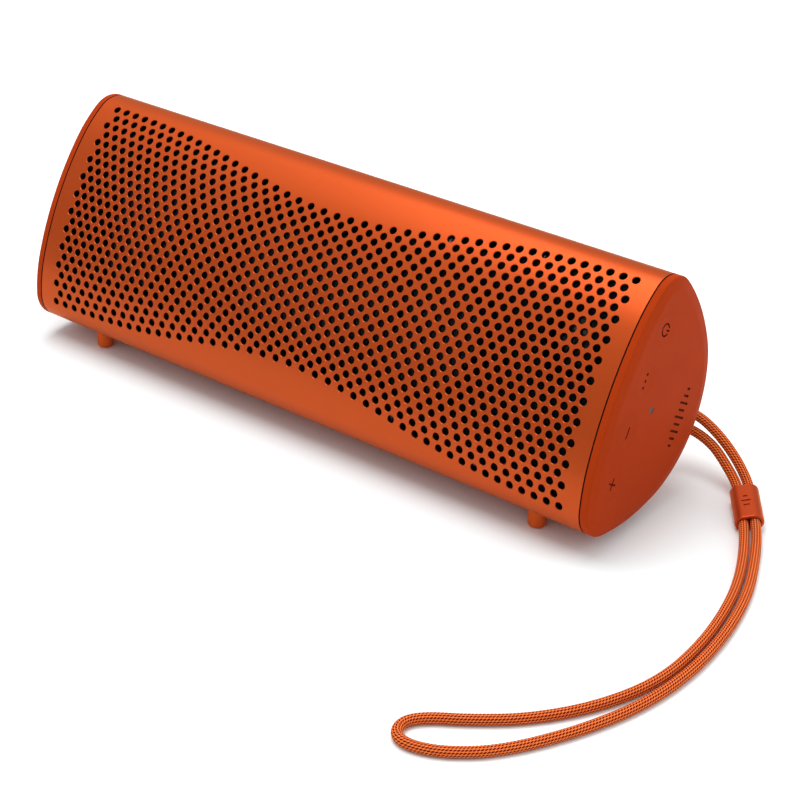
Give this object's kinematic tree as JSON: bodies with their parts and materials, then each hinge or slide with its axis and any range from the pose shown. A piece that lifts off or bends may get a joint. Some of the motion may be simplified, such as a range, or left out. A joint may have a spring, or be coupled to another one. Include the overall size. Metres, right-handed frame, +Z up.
{
  "type": "portable bluetooth speaker",
  "caption": "Portable bluetooth speaker: perforated D-section aluminium sleeve, rubber end caps with press keys, peg feet and a braided wrist strap with a slider.",
  "frame": {"origin": "middle of the body's footprint on the surface it stands on", "axes": "+X along the body towards the end with the keys, +Z up, the perforated face towards -Y"},
  "size_m": [0.264, 0.1574, 0.072],
  "materials": {
    "orange_aluminium": "satin orange anodised, perforated",
    "orange_cap": "matte orange moulded rubber",
    "orange_key": "matte orange moulded rubber with sunk icons",
    "orange_foot": "matte orange rubber",
    "orange_braid": "tight two-tone braid, bright orange over dark red",
    "orange_slider": "satin orange moulding with sunk bars",
    "seal_black": "matte black seal",
    "black_moulding": "fine grain black moulding",
    "grey_lens": "smoked clear lens",
    "green_board": "solder mask over glass laminate",
    "black_chip": "moulded package",
    "shield_steel": "tinned steel",
    "screw_steel": "zinc plated, dark",
    "cone_fibre": "pressed fibre, matte",
    "surround_rubber": "soft black rubber",
    "spider_cloth": "resin-stiffened cloth",
    "dome_silver": "bright drawn aluminium",
    "magnet_nickel": "nickel plated",
    "motor_steel": "zinc plated steel",
    "coil_copper": "enamelled copper wire",
    "cell_wrap": "shrink sleeve",
    "wire_jacket": "soft insulation",
    "cable_film": "amber film",
    "eyelet_metal": "satin orange"
  },
  "bodies": {
    "speaker": {"acoustic_enclosure": "black_moulding", "amplifier_chip": "black_chip", "baffle_gasket": "seal_black", "baffle_screws": "screw_steel", "battery_cells": "cell_wrap", "battery_holder": "black_moulding", "battery_protection_board": "green_board", "battery_wires": "wire_jacket", "bluetooth_module": "shield_steel", "board_screws": "screw_steel", "board_spacers": "motor_steel", "charge_board": "green_board", "control_board": "green_board", "control_end_cap": "orange_cap", "electronics_carrier": "black_moulding", "end_gaskets": "seal_black", "filter_capacitors": "shield_steel", "front_feet": "orange_foot", "key_board_cable": "cable_film", "main_board": "green_board", "plain_end_cap": "orange_cap", "port_bezel": "black_moulding", "radiator_frame": "black_moulding", "rear_feet": "orange_foot", "sleeve_back": "orange_aluminium", "sleeve_front": "orange_aluminium", "speaker_baffle": "black_moulding", "status_led": "grey_lens", "status_light_pipe": "grey_lens", "strap_cord": "orange_braid", "strap_end_crimp": "shield_steel", "strap_eyelet": "eyelet_metal", "tact_switches": "black_chip", "tweeter_faceplate": "black_moulding", "tweeter_magnet": "magnet_nickel", "tweeter_yoke": "motor_steel", "usb_contact_tongue": "black_chip", "usb_receptacle": "shield_steel", "wire_grommet": "seal_black", "woofer_frame": "black_moulding", "woofer_magnet": "magnet_nickel", "woofer_pole_plate": "motor_steel", "woofer_screws": "screw_steel", "woofer_yoke_cup": "motor_steel"},
    "power_key": {"power_key": "orange_key"},
    "source_key": {"source_key": "orange_key"},
    "volume_down_key": {"volume_down_key": "orange_key"},
    "volume_up_key": {"volume_up_key": "orange_key"},
    "woofer_diaphragm": {"woofer_cone": "cone_fibre", "woofer_dust_cap": "cone_fibre", "woofer_voice_coil": "coil_copper", "woofer_surround": "surround_rubber", "woofer_spider": "spider_cloth"},
    "tweeter_diaphragm": {"tweeter_dome": "dome_silver", "tweeter_voice_coil": "coil_copper", "tweeter_suspension": "surround_rubber"},
    "radiator_diaphragm": {"radiator_plate": "cone_fibre", "radiator_weight": "motor_steel", "radiator_surround": "surround_rubber"},
    "slider": {"strap_slider": "orange_slider"}
  },
  "joints": [
    {"name": "power_key_press", "type": "slide", "parent": "speaker", "child": "power_key", "axis": [-1, 0, 0], "range_m": [0, 0.0004], "stiffness_N_per_m": 1500, "springref_m": -0.0001},
    {"name": "source_key_press", "type": "slide", "parent": "speaker", "child": "source_key", "axis": [-1, 0, 0], "range_m": [0, 0.0004], "stiffness_N_per_m": 1500, "springref_m": -0.0001},
    {"name": "volume_down_key_press", "type": "slide", "parent": "speaker", "child": "volume_down_key", "axis": [-1, 0, 0], "range_m": [0, 0.0004], "stiffness_N_per_m": 1500, "springref_m": -0.0001},
    {"name": "volume_up_key_press", "type": "slide", "parent": "speaker", "child": "volume_up_key", "axis": [-1, 0, 0], "range_m": [0, 0.0004], "stiffness_N_per_m": 1500, "springref_m": -0.0001},
    {"name": "woofer_excursion", "type": "slide", "parent": "speaker", "child": "woofer_diaphragm", "axis": [0, -0.8599, 0.5105], "range_m": [-0.003, 0.003], "stiffness_N_per_m": 1200, "deforming": ["woofer_surround", "woofer_spider"]},
    {"name": "tweeter_excursion", "type": "slide", "parent": "speaker", "child": "tweeter_diaphragm", "axis": [0, -0.8599, 0.5105], "range_m": [-0.0003, 0.0003], "stiffness_N_per_m": 2000, "deforming": ["tweeter_suspension"]},
    {"name": "radiator_excursion", "type": "slide", "parent": "speaker", "child": "radiator_diaphragm", "axis": [0, -0.8599, 0.5105], "range_m": [-0.0025, 0.0025], "stiffness_N_per_m": 1000, "deforming": ["radiator_surround"]},
    {"name": "slider_travel", "type": "slide", "parent": "speaker", "child": "slider", "axis": [0.5919, -0.8029, -0.07], "range_m": [-0.0015, 0.0015]}
  ]
}
